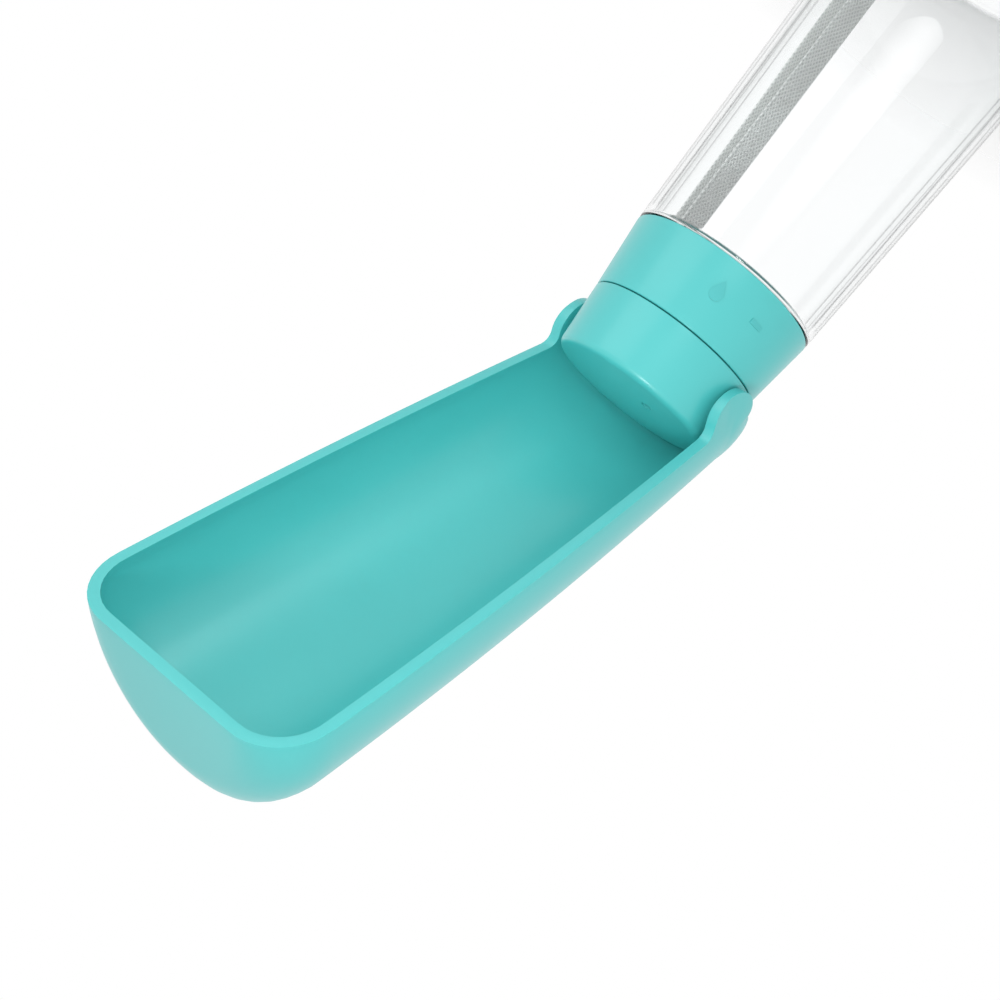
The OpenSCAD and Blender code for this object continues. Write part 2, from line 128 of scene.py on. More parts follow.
print("spun pieces have", SPIN_STEPS, "segments")

# %% [markdown]
# Every new piece is shaded smooth, and only the edges that turn sharply stay crisp. A boolean
# leaves new edges behind, so the same rule runs again after each cut.

# %% Shading and cuts
SHARP_ANGLE = 38.0


def add_rod(bm, radius, start, end, segments=48):
    """Adds a closed rod from start to end, in millimetres, to a bmesh."""
    a, b = Vector(start) * MM, Vector(end) * MM
    turn = (b - a).to_track_quat("Z", "Y").to_matrix().to_4x4()
    place = Matrix.Translation((a + b) / 2) @ turn
    bmesh.ops.create_cone(bm, cap_ends=True, segments=segments, radius1=radius * MM,
                          radius2=radius * MM, depth=(b - a).length, matrix=place)


def shade(mesh, sharp=SHARP_ANGLE):
    """Smooth shading, with sharp edges where the surface turns by more than sharp degrees."""
    mesh.shade_smooth()
    mesh.set_sharp_from_angle(angle=math.radians(sharp))


def finish_mesh(name, bm, sharp=SHARP_ANGLE):
    """Turns a bmesh into a shaded object in the scene."""
    mesh = bpy.data.meshes.new(name)
    bm.to_mesh(mesh)
    bm.free()
    piece = bpy.data.objects.new(name, mesh)
    bpy.context.scene.collection.objects.link(piece)
    shade(mesh, sharp)
    print(name, len(mesh.polygons), "faces")
    return piece


def cut(piece, cutter_bm, operation="DIFFERENCE"):
    """Cuts or joins another closed shape with an exact boolean, then drops the helper."""
    cutter = finish_mesh("cutter", cutter_bm)
    boolean = piece.modifiers.new("cut", "BOOLEAN")
    boolean.operation, boolean.solver, boolean.object = operation, "EXACT", cutter
    done = bpy.data.meshes.new_from_object(
        piece.evaluated_get(bpy.context.evaluated_depsgraph_get()))
    piece.modifiers.clear()
    piece.data = done
    bpy.data.objects.remove(cutter)
    shade(done)


print("edges are sharp above", SHARP_ANGLE, "degrees")

# %% [markdown]
# ## The grain of moulded plastic
# Injection-moulded plastic is never one flat colour: the mould leaves a very fine grain, and
# the gloss wanders a little over the surface. Both come from one node group, so each plastic
# only sets its own strength. The group reads Object coordinates, which stay put when the
# piece moves, and gives out a height, a roughness and a broad tone.

# %% Shared grain group


def maths(tree, operation, *values):
    """A Math node fed with sockets or plain numbers."""
    node = tree.nodes.new("ShaderNodeMath")
    node.operation = operation
    for socket, value in zip(node.inputs, values):
        if isinstance(value, bpy.types.NodeSocket):
            tree.links.new(value, socket)
        else:
            socket.default_value = value
    return node.outputs[0]


def grain_group():
    """The fine grain, uneven gloss and broad tone of a moulded surface, as one node group."""
    group = bpy.data.node_groups.new("moulded_grain", "ShaderNodeTree")
    for name, low, high in (("Grain Size", 100, 9000), ("Gloss", 0, 1), ("Gloss Spread", 0, 1)):
        socket = group.interface.new_socket(name, in_out="INPUT", socket_type="NodeSocketFloat")
        socket.min_value, socket.max_value = low, high
    for name in ("Height", "Roughness", "Tone"):
        group.interface.new_socket(name, in_out="OUTPUT", socket_type="NodeSocketFloat")
    nodes, links = group.nodes, group.links
    source, sink = nodes.new("NodeGroupInput"), nodes.new("NodeGroupOutput")
    place = nodes.new("ShaderNodeTexCoord")
    fine = nodes.new("ShaderNodeTexNoise")
    fine.inputs["Detail"].default_value = 2.0
    links.new(place.outputs["Object"], fine.inputs["Vector"])
    links.new(source.outputs["Grain Size"], fine.inputs["Scale"])
    links.new(fine.outputs["Fac"], sink.inputs["Height"])
    broad = nodes.new("ShaderNodeTexNoise")
    broad.inputs["Scale"].default_value = 38.0
    broad.inputs["Detail"].default_value = 3.0
    links.new(place.outputs["Object"], broad.inputs["Vector"])
    links.new(broad.outputs["Fac"], sink.inputs["Tone"])
    centred = maths(group, "SUBTRACT", broad.outputs["Fac"], 0.5)
    links.new(maths(group, "MULTIPLY_ADD", centred, source.outputs["Gloss Spread"],
                    source.outputs["Gloss"]), sink.inputs["Roughness"])
    return group


GRAIN = grain_group()
print("grain group sockets:", [s.name for s in GRAIN.interface.items_tree])

# %% [markdown]
# ## A moulded plastic, a metal and a rubber
# Every finish here takes some of the same steps: a new material, its grain, two close colours
# and a relief. Each step is a small function that adds its nodes to the material, so a finish
# reads as a short list of what makes it up.

# %% Steps of a finish


def new_material(name):
    """A new material, its node tree and its Principled shader."""
    material = bpy.data.materials.new(name)
    material.use_nodes = True
    tree = material.node_tree
    return material, tree, tree.nodes["Principled BSDF"]


def add_grain(tree, shader, size, gloss, spread):
    """Puts the grain group in a material, lets it set the roughness, and returns its node."""
    node = tree.nodes.new("ShaderNodeGroup")
    node.node_tree = GRAIN
    for name, value in (("Grain Size", size), ("Gloss", gloss), ("Gloss Spread", spread)):
        node.inputs[name].default_value = value
    tree.links.new(node.outputs["Roughness"], shader.inputs["Roughness"])
    return node


def two_tone(tree, factor, dark, light):
    """A colour that moves between two close ones."""
    node = tree.nodes.new("ShaderNodeMix")
    node.data_type = "RGBA"
    node.inputs["A"].default_value = (*dark, 1)
    node.inputs["B"].default_value = (*light, 1)
    tree.links.new(factor, node.inputs["Factor"])
    return node.outputs["Result"]


def emboss(tree, shader, height, strength, distance):
    """Raises a relief of that height on the shader's normal."""
    node = tree.nodes.new("ShaderNodeBump")
    node.inputs["Strength"].default_value = strength
    node.inputs["Distance"].default_value = distance
    tree.links.new(height, node.inputs["Height"])
    tree.links.new(node.outputs["Normal"], shader.inputs["Normal"])


print("steps of a finish:", [f.__name__ for f in (new_material, add_grain, two_tone, emboss)])

# %% [markdown]
# One function then builds all of the opaque finishes, because they differ only in colour,
# gloss, grain and metalness. The two colours it mixes are close together, and the broad noise
# moves between them, which keeps large shells from looking like flat paint. The roughness
# wanders inside a band about a third of its own value wide, so a shiny plastic stays shiny
# and a matt rubber stays matt.

# %% Opaque finishes
PLASTIC_IOR = 1.5
GRAIN_DEPTH = 0.00002
GLOSS_SHARE = 0.35


def opaque(name, dark, light, rough, grain=2600.0, metal=0.0, coat=0.0):
    """A material with two close colours mixed by noise, a moulded grain and uneven gloss."""
    material, tree, shader = new_material(name)
    shader.inputs["Metallic"].default_value = metal
    shader.inputs["IOR"].default_value = PLASTIC_IOR
    shader.inputs["Coat Weight"].default_value = coat
    shader.inputs["Coat Roughness"].default_value = 0.2
    grain_node = add_grain(tree, shader, grain, rough, rough * GLOSS_SHARE)
    colour = two_tone(tree, grain_node.outputs["Tone"], dark, light)
    tree.links.new(colour, shader.inputs["Base Color"])
    emboss(tree, shader, grain_node.outputs["Height"], 0.5, GRAIN_DEPTH)
    return material


teal = opaque("teal_satin", (0.068, 0.505, 0.500), (0.080, 0.530, 0.525), 0.36, coat=0.25)
teal_mark = opaque("teal_mark", (0.058, 0.455, 0.455), (0.066, 0.480, 0.480), 0.40, coat=0.2)
milky = opaque("milky_silicone", (0.70, 0.74, 0.74), (0.78, 0.81, 0.81), 0.42, 1500.0)
white = opaque("white_moulded", (0.78, 0.80, 0.80), (0.84, 0.86, 0.86), 0.35)
steel = opaque("turned_steel", (0.52, 0.53, 0.55), (0.62, 0.63, 0.65), 0.28, 4000.0, metal=1.0)
dark_rubber = opaque("dark_rubber", (0.020, 0.020, 0.022), (0.032, 0.032, 0.034), 0.6, 1800.0)
print("opaque finishes:", len(bpy.data.materials))

# %% [markdown]
# ## Clear plastic
# The bottle is a thick clear plastic that bends light at its walls. A see-through look could
# be faked with low alpha, but then nothing seen through the wall would shift. Real transmission
# with the plastic's own index of refraction does that by itself. In an all-white room such a
# wall would have no outline, so where it is seen edge-on a Layer Weight ramp paints thin grey
# lines into its colour, a painted reflection of a real room's dark corners. The flat base and
# shoulder are left out of these lines by their height, since they are seen edge-on all over.

# %% Clear plastic finish
BASE_LINES_FROM, BASE_LINES_TO = 0.006, 0.014
SHOULDER_LINES_FROM, SHOULDER_LINES_TO = 0.1405, 0.1385
# Stops (facing, grey) of the painted reflection lines on the edge-on wall.
EDGE_REFLECTION_STOPS = ((0.50, 1.0), (0.60, 0.90), (0.625, 0.22), (0.65, 0.90), (0.72, 0.93),
              (0.75, 0.24), (0.78, 0.92), (0.83, 0.85), (0.86, 0.20), (0.89, 0.80))


def fade(tree, value, low, high):
    """A Map Range node that goes from 0 at low to 1 at high."""
    node = tree.nodes.new("ShaderNodeMapRange")
    node.inputs["From Min"].default_value = low
    node.inputs["From Max"].default_value = high
    tree.links.new(value, node.inputs["Value"])
    return node.outputs["Result"]


clear, clear_tree, clear_shader = new_material("clear_plastic")
clear_shader.inputs["Transmission Weight"].default_value = 1.0
clear_shader.inputs["IOR"].default_value = PLASTIC_IOR
clear_grain = add_grain(clear_tree, clear_shader, 300.0, 0.012, 0.02)
clear_colour = two_tone(clear_tree, clear_grain.outputs["Tone"],
                        (0.982, 0.988, 0.990), (0.990, 0.995, 0.996))
edge_on = clear_tree.nodes.new("ShaderNodeLayerWeight")
edge_on.inputs["Blend"].default_value = 0.5
# Painted reflection: this ramp greys the wall's colour in thin lines where it is seen edge-on.
painted_edge_lines = clear_tree.nodes.new("ShaderNodeValToRGB")
ramp = painted_edge_lines.color_ramp
for place, grey in EDGE_REFLECTION_STOPS:
    stop = ramp.elements.new(place)
    stop.color = (grey * 0.99, grey, grey, 1)
ramp.elements[0].color = (1, 1, 1, 1)
ramp.elements[-1].color = (0.30, 0.31, 0.31, 1)
clear_tree.links.new(edge_on.outputs["Facing"], painted_edge_lines.inputs["Fac"])
clear_place = clear_tree.nodes.new("ShaderNodeTexCoord")
clear_axes = clear_tree.nodes.new("ShaderNodeSeparateXYZ")
clear_tree.links.new(clear_place.outputs["Object"], clear_axes.inputs["Vector"])
clear_height = clear_axes.outputs["Z"]
wall_only = maths(clear_tree, "MULTIPLY",
                  fade(clear_tree, clear_height, BASE_LINES_FROM, BASE_LINES_TO),
                  fade(clear_tree, clear_height, SHOULDER_LINES_FROM, SHOULDER_LINES_TO))
clear_tint = clear_tree.nodes.new("ShaderNodeMix")
clear_tint.data_type, clear_tint.blend_type = "RGBA", "MULTIPLY"
clear_tree.links.new(wall_only, clear_tint.inputs["Factor"])
clear_tree.links.new(clear_colour, clear_tint.inputs["A"])
clear_tree.links.new(painted_edge_lines.outputs["Color"], clear_tint.inputs["B"])
clear_tree.links.new(clear_tint.outputs["Result"], clear_shader.inputs["Base Color"])
print("edge ramp stops:", [round(stop.position, 3) for stop in ramp.elements])

# %% [markdown]
# A renderer lets no lamp shine straight through a wall that bends light, so the lamps would
# leave whatever stands behind the bottle unlit. For shadow rays alone each surface of the wall
# is therefore plainly see-through, and takes away a fifth of the light.

# %% Light through the clear plastic


def ray_mask(tree, names):
    """1 for the kinds of ray in names, and 0 for all others."""
    paths = tree.nodes.new("ShaderNodeLightPath")
    mask = paths.outputs[names[0]]
    for name in names[1:]:
        mask = maths(tree, "MAXIMUM", mask, paths.outputs[name])
    return mask


def shader_mix(tree, factor, first, second):
    """The first shader where factor is 0, and the second where it is 1."""
    node = tree.nodes.new("ShaderNodeMixShader")
    tree.links.new(factor, node.inputs["Fac"])
    tree.links.new(first, node.inputs[1])
    tree.links.new(second, node.inputs[2])
    return node.outputs["Shader"]


lamp_way = clear_tree.nodes.new("ShaderNodeBsdfTransparent")
lamp_way.inputs["Color"].default_value = (0.80, 0.82, 0.82, 1)
clear_blend = shader_mix(clear_tree, ray_mask(clear_tree, ("Is Shadow Ray",)),
                         clear_shader.outputs["BSDF"], lamp_way.outputs["BSDF"])
clear_tree.links.new(clear_blend, clear_tree.nodes["Material Output"].inputs["Surface"])
print("clear plastic nodes:", len(clear_tree.nodes))

# %% [markdown]
# ## The clear bottle
# The bottle widens from the collar down to its base, and its floor is a little thicker than
# its wall. The screw thread on the neck is a small ridge that is spun with a rise, the way a
# lathe cuts one. Displacing the neck with a texture could fake it, but the collar screws on
# this thread, so it has its real shape. The ridge's foot is sunk a little into the neck.

# %% Screw thread
ROOT_HALF, CREST_HALF, RIDGE_H, RIDGE_SINK = 0.9, 0.45, 1.6, 0.4
THREAD_STEPS, FADE_RATE, LEAST_RIDGE = 128, 9, 0.05


def add_thread(bm, root, crest, z0):
    """Adds a helical ridge that fades in and out at its two ends."""
    shape = [(root, -ROOT_HALF), (crest, -CREST_HALF), (crest, CREST_HALF), (root, ROOT_HALF)]
    verts = [bm.verts.new((r * MM, 0, (z0 + z) * MM)) for r, z in shape]
    edges = [bm.edges.new(pair) for pair in zip(verts, verts[1:] + verts[:1])]
    before = set(bm.verts) - set(verts)
    bmesh.ops.spin(bm, geom=verts + edges, axis=(0, 0, 1), cent=(0, 0, 0),
                   dvec=(0, 0, PITCH * TURNS / THREAD_STEPS * MM), angle=2 * math.pi * TURNS,
                   steps=THREAD_STEPS, use_merge=False)
    ridge = [v for v in bm.verts if v not in before]
    ends = [e for v in ridge for e in v.link_edges if e.is_boundary]
    bmesh.ops.holes_fill(bm, edges=list(set(ends)), sides=4)
    for v in ridge:
        rise = (v.co.z / MM - z0) / PITCH
        grown = max(LEAST_RIDGE, min(1.0, rise * FADE_RATE, (TURNS - rise) * FADE_RATE))
        reach = math.hypot(v.co.x, v.co.y) / MM
        wanted = root + (reach - root) * grown
        v.co.x, v.co.y = v.co.x * wanted / reach, v.co.y * wanted / reach


print("thread rises", PITCH * TURNS, "mm in", TURNS, "turns")

# %% [markdown]
# The bottle's outline runs up the outside, over the mouth and down the inside as one line, so
# one spin gives a wall with a real thickness, which refraction needs. The third number of each
# corner is how far the rounding reaches along its sides.

# %% Bottle
FLOOR_T, FLOOR_R, INNER_TOP_R, INNER_TOP_Z = 3, 38.2, 31.66, 141.6
bottle_outline = soften([
    (0, 0, 0), (BASE_R, 0, 8), (SHOULDER_R, SHOULDER_Z, 1.1), (NECK_R, SHOULDER_Z, 0.5),
    (NECK_R, MOUTH_Z, 0.5), (NECK_R - WALL, MOUTH_Z, 0.5), (NECK_R - WALL, INNER_TOP_Z, 0.5),
    (INNER_TOP_R, INNER_TOP_Z, 0.8), (FLOOR_R, FLOOR_T, 6), (0, FLOOR_T, 0)], steps=7)
bottle_bm = turned(bottle_outline)
add_thread(bottle_bm, NECK_R - RIDGE_SINK, NECK_R + RIDGE_H, THREAD_Z)
bmesh.ops.recalc_face_normals(bottle_bm, faces=bottle_bm.faces)
bottle = finish_mesh("clear_bottle", bottle_bm)
bottle.data.materials.append(clear)
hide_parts("bottle_body")
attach(bottle, "bottle")

# %% [markdown]
# ## The collar
# The collar is a short cone with a deck inside that carries the valve. It is spun as one closed
# outline, the deck and its recess included, and then its water port is cut through the deck.

# %% Collar
SEAL_RECESS_R, RIM_R, BOSS_FOOT_R, BOSS_FOOT_Z = 20, 26.6, 5, 157.6
COLLAR_Z, COLLAR_R, COLLAR_TOP_R = SHOULDER_Z + 0.3, 33.96, 31.05
PORT_CUT_Z0, PORT_CUT_Z1 = 160, 170
collar_outline = soften([
    (0, SEAL_Z, 0), (SEAL_RECESS_R, SEAL_Z, 0), (SEAL_RECESS_R, DECK_Z1, 0.3),
    (RIM_R, DECK_Z1, 0.3), (RIM_R, SEAM_Z, 0.3), (COLLAR_TOP_R, SEAM_Z, 0.45),
    (COLLAR_R, COLLAR_Z, 0.6), (BORE_R, COLLAR_Z, 0.6), (BORE_R, DECK_Z0, 0.5),
    (BOSS_FOOT_R, DECK_Z0, 0.5), (BOSS_FOOT_R, BOSS_FOOT_Z, 0.6), (0, BOSS_FOOT_Z, 0)])
collar = finish_mesh("collar_shell", turned(collar_outline))
port_bm = bmesh.new()
port_turn = math.radians(PORT_ANGLE)
port_x, port_y = PORT_DIST * math.cos(port_turn), PORT_DIST * math.sin(port_turn)
add_rod(port_bm, PORT_R, (port_x, port_y, PORT_CUT_Z0), (port_x, port_y, PORT_CUT_Z1))
cut(collar, port_bm)

# %% [markdown]
# The loop for the wrist strap is a moulded block with a slot. Two rounded rectangles, one
# inside the other, are filled as a frame, and the frame is extruded upwards, which leaves the
# slot open from the start. A small bevel breaks its edges before it is joined to the collar.

# %% Strap loop
LUG_REACH, LUG_CHEEK, LUG_ROOT_R, LUG_ROUND, LUG_BEVEL = 6.4, 3, 31.6, 2.2, 0.6
SLOT_PLAY, SLOT_ROUND = 0.5, 1.0
LIP_ANGLE, LEVEL = 1.2, 1e-6
lug_bm = bmesh.new()
lug_out = collar_radius(LUG_Z0) + LUG_REACH
bar_mid = lug_out - BAR_T / 2
rings = []
for x0, x1, half, root_reach, reach in (
        (LUG_ROOT_R, lug_out, STRAP_W / 2 + LUG_CHEEK, 0, LUG_ROUND),
        (lug_out - 2 * BAR_T, lug_out - BAR_T, STRAP_W / 2 + SLOT_PLAY, SLOT_ROUND, SLOT_ROUND)):
    loop = soften([(x0, -half, root_reach), (x1, -half, reach),
                   (x1, half, reach), (x0, half, root_reach)], steps=4)
    verts = [lug_bm.verts.new((x * MM, y * MM, LUG_Z0 * MM)) for x, y in loop]
    rings += [lug_bm.edges.new(pair) for pair in zip(verts, verts[1:] + verts[:1])]
lug_face = bmesh.ops.triangle_fill(lug_bm, edges=rings, use_beauty=True)
lug_faces = [f for f in lug_face["geom"] if isinstance(f, bmesh.types.BMFace)]
up = bmesh.ops.extrude_face_region(lug_bm, geom=lug_faces)
risen = [v for v in up["geom"] if isinstance(v, bmesh.types.BMVert)]
bmesh.ops.translate(lug_bm, verts=risen, vec=(0, 0, (LUG_Z1 - LUG_Z0) * MM))
bmesh.ops.recalc_face_normals(lug_bm, faces=lug_bm.faces)
lips = [e for e in lug_bm.edges if len(e.link_faces) == 2 and e.calc_face_angle(0) > LIP_ANGLE
        and abs(e.verts[0].co.z - e.verts[1].co.z) < LEVEL]
bmesh.ops.bevel(lug_bm, geom=lips, offset=LUG_BEVEL * MM, offset_type="OFFSET", segments=3,
                profile=0.5, affect="EDGES", clamp_overlap=True, material=-1)
bmesh.ops.rotate(lug_bm, verts=lug_bm.verts, cent=(0, 0, 0),
                 matrix=Matrix.Rotation(math.radians(STRAP_ANGLE), 3, "Z"))
cut(collar, lug_bm, "UNION")
print("lug reaches to", round(lug_out, 2), "mm from the axis")

# %% [markdown]
# The collar's own thread is the same ridge as the bottle's, but it stands on the bore and
# points inwards. It is added last, as a separate closed shell in the same mesh, so that the
# booleans above stay quick and clean.

# %% Collar thread
CREST_GAP = 0.5
thread_bm = bmesh.new()
thread_bm.from_mesh(collar.data)
add_thread(thread_bm, BORE_R + RIDGE_SINK, NECK_R + CREST_GAP, THREAD_Z + THREAD_SEAT)
thread_bm.to_mesh(collar.data)
thread_bm.free()
shade(collar.data)
collar.data.materials.clear()
collar.data.materials.append(teal)
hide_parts("collar")
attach(collar, "collar")
print("collar with its thread:", len(collar.data.polygons), "faces")

# %% [markdown]
# ## The valve head
# The head is a cap with a shallow domed end. Its outline starts on the axis at the top of the
# dome, comes down the outside, turns in at the seam and goes back up the inside. The outlet
# that fills the trough is a small hole off to one side, and a short boss on each side holds
# a hinge pin.

# %% Head
HEAD_FOOT_Z, ROTOR_WELL_R, ROTOR_WELL_Z = SEAM_Z + SEAM_GAP, 28.0, 174.9
HEAD_IN_R, HEAD_IN_Z0, HEAD_IN_Z1 = 26.8, 176.4, 188.3
OUTLET_X, OUTLET_Y, OUTLET_R = -10.9, -6.4, 1.9
OUTLET_CUT_Z0, OUTLET_CUT_Z1, EDGE_RISE = 185, 195, 0.25
BOSS_R, BOSS_X0, BOSS_X1 = 5.0, 19.5, 30.5
dome_radius = (HEAD_TOP_R ** 2 + DOME_H ** 2) / (2 * DOME_H)
dome = [(r, HEAD_TOP_Z + math.sqrt(dome_radius ** 2 - r * r) - (dome_radius - DOME_H), 0)
        for r in (0, 4, 8, 12, 16, 20, 24)]
head_outline = soften(dome + [
    (HEAD_TOP_R, HEAD_TOP_Z + EDGE_RISE, 2.4), (SEAM_R, HEAD_FOOT_Z, 0.5),
    (ROTOR_WELL_R, HEAD_FOOT_Z, 0.3), (ROTOR_WELL_R, ROTOR_WELL_Z, 0),
    (HEAD_IN_R, HEAD_IN_Z0, 0), (HEAD_IN_R, HEAD_IN_Z1, 2.6), (0, HEAD_IN_Z1, 0)], steps=8)
head = finish_mesh("head_shell", turned(head_outline))
outlet_bm = bmesh.new()
add_rod(outlet_bm, OUTLET_R, (OUTLET_X, OUTLET_Y, OUTLET_CUT_Z0),
        (OUTLET_X, OUTLET_Y, OUTLET_CUT_Z1), 40)
cut(head, outlet_bm)
for side in (1, -1):
    boss_bm = bmesh.new()
    add_rod(boss_bm, BOSS_R, (side * BOSS_X0, 0, HINGE_Z), (side * BOSS_X1, 0, HINGE_Z), 56)
    cut(head, boss_bm, "UNION")
head.data.materials.clear()
head.data.materials.append(teal)
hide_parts("valve_head")
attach(head, "head")

# %% [markdown]
# ## The trough
# The trough is one thin moulding: a U that grows wider and deeper towards its free end, curls
# over the back of the head, and rises at the rim into two round ears that hold the hinge.
# It could be sculpted from a box with subdivision, but the sizes would drift. Instead a plain
# grid is laid out with one row per station along the trough and one column per step round the
# U, and each point is moved to where the wall runs. Extra columns beyond the rim become the
# ears, and fold away to nothing elsewhere, so merging doubles removes them there.

# %% Trough sizes
LENGTH, ROUND_START, RIM_DROP = 193.0, 172.5, 1.3
HOOK, HOOK_RIM, LOWERED, LOWERED_RIM = 38.0, 64.7, 4.7, 8.4
EAR_R, EAR_IN, EAR_OUT, EAR_FILLET = 9.7, 31.9, 35.0, 4.5
EAR_REACH = math.sqrt((EAR_R + EAR_FILLET) ** 2 - (RIM_DROP - EAR_FILLET) ** 2)
ACROSS, EAR_COLUMNS, EASE_ROWS, EASE_ROWS_INNER = 56, 5, 9, 3
HOOK_STEPS, NEAR_STEPS, LONG_STEPS, ROUND_STEPS, CAP_STEPS = 12, 18, 26, 10, 5
HOOK_ROWS = [("hook", 1 - k / HOOK_STEPS) for k in range(HOOK_STEPS)]
NEAR_ROWS = [("run", EAR_REACH * k / NEAR_STEPS) for k in range(NEAR_STEPS + 1)]
LONG_ROWS = [("run", EAR_REACH + (ROUND_START - EAR_REACH) * k / LONG_STEPS)
             for k in range(1, LONG_STEPS + 1)]
ROUND_ROWS = [("round", 90 * k / ROUND_STEPS) for k in range(1, ROUND_STEPS + 1)]
CAP_ROWS = [("cap", 1 - k / CAP_STEPS) for k in range(1, CAP_STEPS + 1)]
ROWS = HOOK_ROWS + NEAR_ROWS + LONG_ROWS + ROUND_ROWS + CAP_ROWS
EAR_ROWS = len(HOOK_ROWS) + len(NEAR_ROWS) - 1
print("trough grid:", len(ROWS), "rows, ear reach", round(EAR_REACH, 2))

# %% [markdown]
# The wall's two faces follow the same rule with a different inset, so the wall keeps an even
# thickness even where the end turns in. The half width and the depth each start from a size at
# the hinge, gain evenly towards the free end, and bow outwards in between.

# %% Trough surface rule
WIDTH_START, WIDTH_GAIN, WIDTH_BOW, PLAN_CORNER = 34.8, 14.7, 8.0, 20
DEPTH_START, DEPTH_GAIN, DEPTH_BOW, FLOOR_CORNER = 32.6, 11.4, 12.8, 11


def pull_in(u, corner, inset):
    """How far a rounded corner has pulled the wall in at distance u."""
    r = max(corner - inset, 1)
    t = min(max((u - (LENGTH - inset - r)) / r, 0), 1)
    return r * (1 - math.sqrt(1 - t * t))


def half_width(u, inset=0.0):
    """Half the trough's width across the rim at distance u from the hinge."""
    f = u / LENGTH
    full = WIDTH_START + WIDTH_GAIN * f + WIDTH_BOW * f * (1 - f)
    return full - inset - pull_in(u, PLAN_CORNER, inset)


def depth(u, inset=0.0):
    """The trough's depth below the rim at distance u from the hinge."""
    f = u / LENGTH
    full = DEPTH_START + DEPTH_GAIN * f + DEPTH_BOW * f * (1 - f)
    return full - inset - pull_in(u, FLOOR_CORNER, inset)


print("trough half width and depth at the middle:", round(half_width(96), 1), round(depth(96), 1))

# %% [markdown]
# Seen from the side, an ear is a disc about the hinge that flows into the rim with a hollow
# curve. Its outline starts at the curled end's own corner, runs round the disc and ends on the
# rim, so the sheet has no step where the ear begins.

# %% Ear outline
EAR_START, DISC_STEPS, FILLET_STEPS = 72, 24, 10


def ear_outline():
    """The ear's outline as (along, deep) points, from the curled end round to the rim."""
    low = RIM_DROP + LOWERED_RIM
    curl = math.radians(HOOK_RIM)
    out = [(-low * math.sin(curl), low * math.cos(curl))]
    touch = math.atan2(RIM_DROP - EAR_FILLET, EAR_REACH)
    sweep = math.radians(270 - EAR_START) + touch
    for k in range(DISC_STEPS + 1):
        a = math.radians(EAR_START) + sweep * k / DISC_STEPS
        out.append((-EAR_R * math.sin(a), EAR_R * math.cos(a)))
    for k in range(1, FILLET_STEPS + 1):
        b = math.pi + touch - (math.pi / 2 + touch) * k / FILLET_STEPS
        out.append((EAR_REACH + EAR_FILLET * math.cos(b),
                    RIM_DROP - EAR_FILLET + EAR_FILLET * math.sin(b)))
    return [Vector(p) for p in out]


EAR_LINE = ear_outline()
EAR_STEPS = [(b - a).length for a, b in zip(EAR_LINE, EAR_LINE[1:])]


def ear_edge_point(share):
    """A point (along, deep) on the ear's outline, at a share of its whole length."""
    left = share * sum(EAR_STEPS)
    for start, end, step in zip(EAR_LINE, EAR_LINE[1:], EAR_STEPS):
        if left <= step or end == EAR_LINE[-1]:
            return start.lerp(end, min(1, left / step))
        left -= step


print("ear outline in millimetres:", round(sum(EAR_STEPS), 1))

# %% [markdown]
# One rule now places every point of the sheet. Along the trough it picks the station, across
# it walks round the U, and the columns beyond the rim stretch out to the ear's outline. Where
# there is no ear those columns fold onto the rim, and merging doubles removes them. The inner
# face is inset by the wall, and a little more near the rim, which gives the trough the thicker
# lip that stiffens a moulded edge.

# %% Wall rule
WALL_INSET, LIP_GAIN, LIP_FADE = 2.4, 1.3, 3.5
U_POWER, U_POWER_GAIN = 2.0, 0.2
LAST_FULL, LOWERED_RUN = 170, 10
CURL_TOP, CURL_SPAN = 17, 7.2
EAR_INSET, EAR_SPREAD, EASE_POWER = 3.7, 1.6, 0.7


def wall_point(row, column, inner):
    """Where grid point (row, column) goes: across, along and deep, in millimetres."""
    kind, value = ROWS[row]
    side = 1 if column < EAR_COLUMNS + ACROSS / 2 else -1
    beyond = max(EAR_COLUMNS - column, column - EAR_COLUMNS - ACROSS, 0) / EAR_COLUMNS
    step = min(max(column - EAR_COLUMNS, 0), ACROSS) / ACROSS
    end = kind in ("round", "cap")
    u0 = value if kind == "run" else (0 if kind == "hook" else LENGTH)
    lowered = LOWERED * max(0, 1 - u0 / LOWERED_RUN) if not end else 0
    if kind == "hook":
        lowered += (LOWERED_RIM - LOWERED) * value ** 2
    power = U_POWER + U_POWER_GAIN * (u0 / LENGTH)
    first = math.asin((lowered / depth(u0 if not end else LAST_FULL)) ** (power / 2))
    t = first + (math.pi - 2 * first) * step
    below = depth(min(u0, LAST_FULL)) * abs(math.sin(t)) ** (2 / power)
    inset = (WALL_INSET + LIP_GAIN * math.exp(-below / LIP_FADE)) if inner else 0.0
    u = u0
    if end:
        turned_by = math.radians(value if kind == "round" else 90)
        u = ROUND_START + (LENGTH - inset - ROUND_START) * math.sin(turned_by)
    across = half_width(u, inset) * math.copysign(abs(math.cos(t)) ** (2 / power), math.cos(t))
    if kind == "cap":
        across *= value
    deep = RIM_DROP + depth(u, inset) * abs(math.sin(t)) ** (2 / power)
    if kind == "hook":
        near_rim = min(max((CURL_TOP - RIM_DROP - below) / CURL_SPAN, 0), 1)
        near_rim = near_rim ** 2 * (3 - 2 * near_rim)
        a = math.radians(value * (HOOK + (HOOK_RIM - HOOK) * near_rim))
        along, deep = -deep * math.sin(a), deep * math.cos(a)
    else:
        along = u
    if beyond and 0 < row <= EAR_ROWS:
        edge_along, edge_deep = ear_edge_point(row / EAR_ROWS)
        reach_w = half_width(max(edge_along, 0))
        edge_across = max(EAR_IN, reach_w - EAR_INSET) if inner else max(EAR_OUT, reach_w)
        eased = min(1, row / (EASE_ROWS_INNER if inner else EASE_ROWS)) ** EASE_POWER
        across += (side * edge_across - across) * min(1, beyond * EAR_SPREAD) * eased
        along += (edge_along - along) * beyond
        deep += (edge_deep - deep) * beyond
    return across, along, deep


print("rim at the hinge:", [round(x, 1) for x in wall_point(len(HOOK_ROWS), EAR_COLUMNS, False)])

